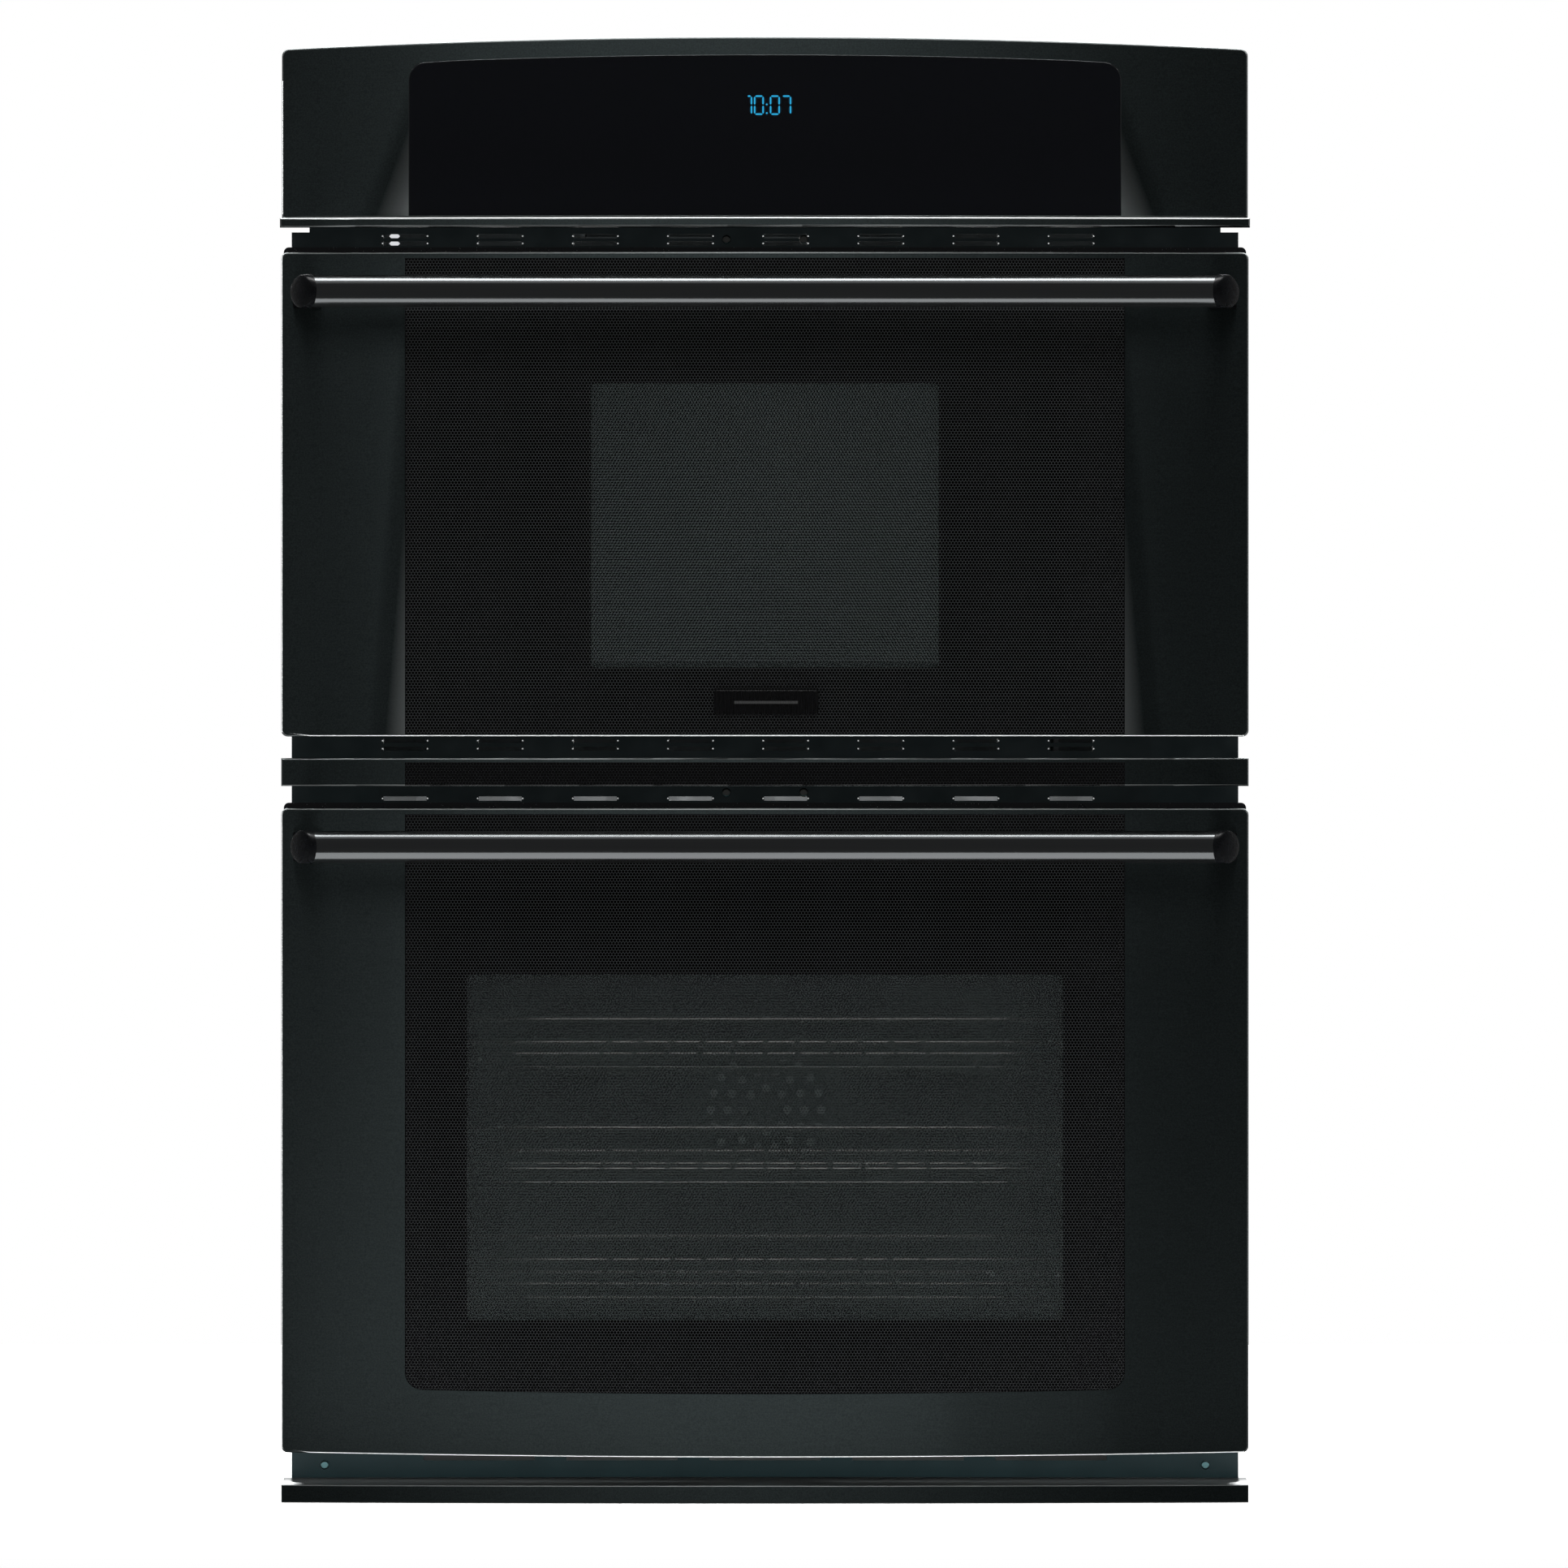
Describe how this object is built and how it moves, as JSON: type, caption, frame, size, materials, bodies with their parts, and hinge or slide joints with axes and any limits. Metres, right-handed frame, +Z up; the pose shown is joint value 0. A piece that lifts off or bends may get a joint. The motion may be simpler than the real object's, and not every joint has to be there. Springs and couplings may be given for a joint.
{
  "type": "wall oven",
  "caption": "Black combination wall oven: bowed control panel with clock, drop-down microwave door above a drop-down oven door with wire racks, tubular handles and a steel chassis.",
  "frame": {"origin": "underside of the base pan, on the centre line, in the plane of the cabinet face (the back of the mounting flange)", "axes": "+X to the right seen from the front, +Y into the cabinet, +Z up"},
  "size_m": [0.762, 0.7058, 1.1508],
  "materials": {
    "galvanized": "satin",
    "black_frame": "satin",
    "black_skin": "satin",
    "panel_glass": "gloss",
    "door_glass": "gloss",
    "clear_glass": "gloss",
    "porcelain": "gloss",
    "microwave_enamel": "satin",
    "dark_chrome": "gloss",
    "rack_chrome": "gloss",
    "insulation": "matte",
    "element": "matte",
    "steel": "satin",
    "motor_steel": "satin",
    "magnetron_fins": "satin",
    "circuit_board": "satin",
    "lamp_glass": "gloss",
    "gasket": "matte",
    "white_plastic": "matte",
    "badge_plastic": "gloss"
  },
  "bodies": {
    "root": {"bake_element": "element", "base_trim": "black_skin", "blower_housing": "galvanized", "broil_element": "element", "center_trim": "black_skin", "chassis_back": "galvanized", "chassis_base": "galvanized", "chassis_side_left": "galvanized", "chassis_side_right": "galvanized", "chassis_top": "galvanized", "conduit_box": "galvanized", "control_board": "circuit_board", "control_fascia": "black_skin", "control_glass": "panel_glass", "control_lip": "black_skin", "convection_baffle": "porcelain", "convection_motor": "motor_steel", "frame_bottom_rail": "black_frame", "frame_center_rail": "black_frame", "frame_screws": "steel", "frame_stile_left": "black_frame", "frame_stile_right": "black_frame", "frame_top_rail": "black_frame", "hinge_receivers": "steel", "hv_transformer": "motor_steel", "magnetron": "magnetron_fins", "microwave_cavity_walls": "microwave_enamel", "microwave_cheek_plates": "black_frame", "oven_cavity_walls": "porcelain", "oven_divider_shelf": "galvanized", "oven_gasket": "gasket", "oven_insulation": "insulation", "oven_lamps": "lamp_glass", "rack_guides": "rack_chrome", "temperature_probe": "element", "turntable_motor": "motor_steel"},
    "lower_door": {"lower_door_skin": "black_skin", "lower_door_glass": "door_glass", "lower_door_liner": "porcelain", "lower_door_inner_glass": "clear_glass", "lower_door_handle": "dark_chrome", "lower_handle_brackets": "dark_chrome", "lower_hinge_arms": "steel"},
    "upper_door": {"upper_door_skin": "black_skin", "upper_door_glass": "door_glass", "upper_door_liner": "porcelain", "upper_door_screen": "microwave_enamel", "upper_door_handle": "dark_chrome", "upper_handle_brackets": "dark_chrome", "upper_hinge_arms": "steel", "badge": "badge_plastic"},
    "top_rack": {"rack_top": "rack_chrome"},
    "middle_rack": {"rack_middle": "rack_chrome"},
    "bottom_rack": {"rack_bottom": "rack_chrome"},
    "latch_hook": {"door_latch_hook": "steel"},
    "fan": {"convection_fan": "steel"},
    "blower": {"blower_wheel": "steel"},
    "turntable": {"turntable_tray": "clear_glass", "turntable_coupler": "white_plastic"},
    "rollers": {"roller_ring": "white_plastic"}
  },
  "joints": [
    {"name": "lower_door_hinge", "type": "hinge", "parent": "root", "child": "lower_door", "pos_m": [0, -0.039, 0.05], "axis": [1, 0, 0], "range_deg": [0, 90], "stiffness_Nm_per_rad": 6, "springref_deg": -17.19},
    {"name": "upper_door_hinge", "type": "hinge", "parent": "root", "child": "upper_door", "pos_m": [0, -0.039, 0.614], "axis": [1, 0, 0], "range_deg": [0, 90], "stiffness_Nm_per_rad": 5, "springref_deg": -17.19},
    {"name": "top_rack_slide", "type": "slide", "parent": "root", "child": "top_rack", "axis": [0, -1, 0], "range_m": [0, 0.35]},
    {"name": "middle_rack_slide", "type": "slide", "parent": "root", "child": "middle_rack", "axis": [0, -1, 0], "range_m": [0, 0.32]},
    {"name": "bottom_rack_slide", "type": "slide", "parent": "root", "child": "bottom_rack", "axis": [0, -1, 0], "range_m": [0, 0.18]},
    {"name": "door_latch_pivot", "type": "hinge", "parent": "root", "child": "latch_hook", "pos_m": [0.036, 0.022, 0.522], "axis": [0, 0, 1], "range_deg": [0, 40]},
    {"name": "convection_fan_spin", "type": "hinge", "parent": "root", "child": "fan", "pos_m": [0, 0.48, 0.292], "axis": [0, 1, 0], "continuous": true},
    {"name": "blower_spin", "type": "hinge", "parent": "root", "child": "blower", "pos_m": [0, 0.43, 1.06], "axis": [1, 0, 0], "continuous": true},
    {"name": "turntable_spin", "type": "hinge", "parent": "root", "child": "turntable", "pos_m": [0, 0.215, 0.65], "axis": [0, 0, 1], "continuous": true},
    {"name": "roller_ring_spin", "type": "hinge", "parent": "root", "child": "rollers", "pos_m": [0, 0.215, 0.646], "axis": [0, 0, 1], "continuous": true}
  ],
  "couplings": [
    {"joint": "top_rack_slide", "follows": "lower_door_hinge", "m_per_rad": 0.2228},
    {"joint": "middle_rack_slide", "follows": "lower_door_hinge", "m_per_rad": 0.2037},
    {"joint": "bottom_rack_slide", "follows": "lower_door_hinge", "m_per_rad": 0.1145},
    {"joint": "roller_ring_spin", "follows": "turntable_spin", "ratio": 0.5}
  ]
}
